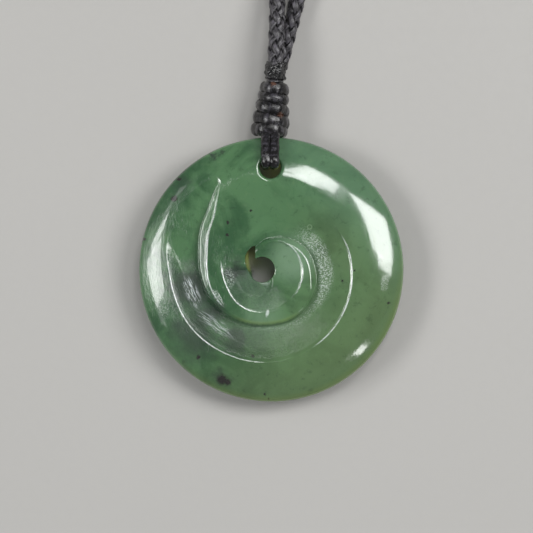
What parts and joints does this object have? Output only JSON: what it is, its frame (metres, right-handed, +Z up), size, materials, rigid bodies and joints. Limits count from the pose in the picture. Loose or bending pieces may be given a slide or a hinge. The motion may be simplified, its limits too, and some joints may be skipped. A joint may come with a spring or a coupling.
{
  "type": "koru pendant necklace",
  "caption": "Round carved jade pendant with a koru spiral round its eye hole, hung by a waxed loop and wound binding on a plaited cord that forms one whole neck loop.",
  "frame": {"origin": "middle of the disc's flat back, on the surface that the necklace lies on", "axes": "+Z up through the carved face, +Y from the disc along the binding towards the neck cord, +X to the right as the face is seen"},
  "size_m": [0.1826, 0.2864, 0.0071],
  "materials": {
    "jade": "polished green jade with dark specks and a grey cloud",
    "waxed_cord": "black waxed thread, shiny where it is pulled tight",
    "melted_wax": "melted black waxed thread, glossy and lumpy",
    "plaited_cord": "satin charcoal plaited waxed cord"
  },
  "bodies": {
    "root": {"koru_disc": "jade", "hanging_loop": "waxed_cord", "binding": "waxed_cord", "end_collar": "melted_wax", "neck_cord": "plaited_cord"}
  },
  "joints": []
}
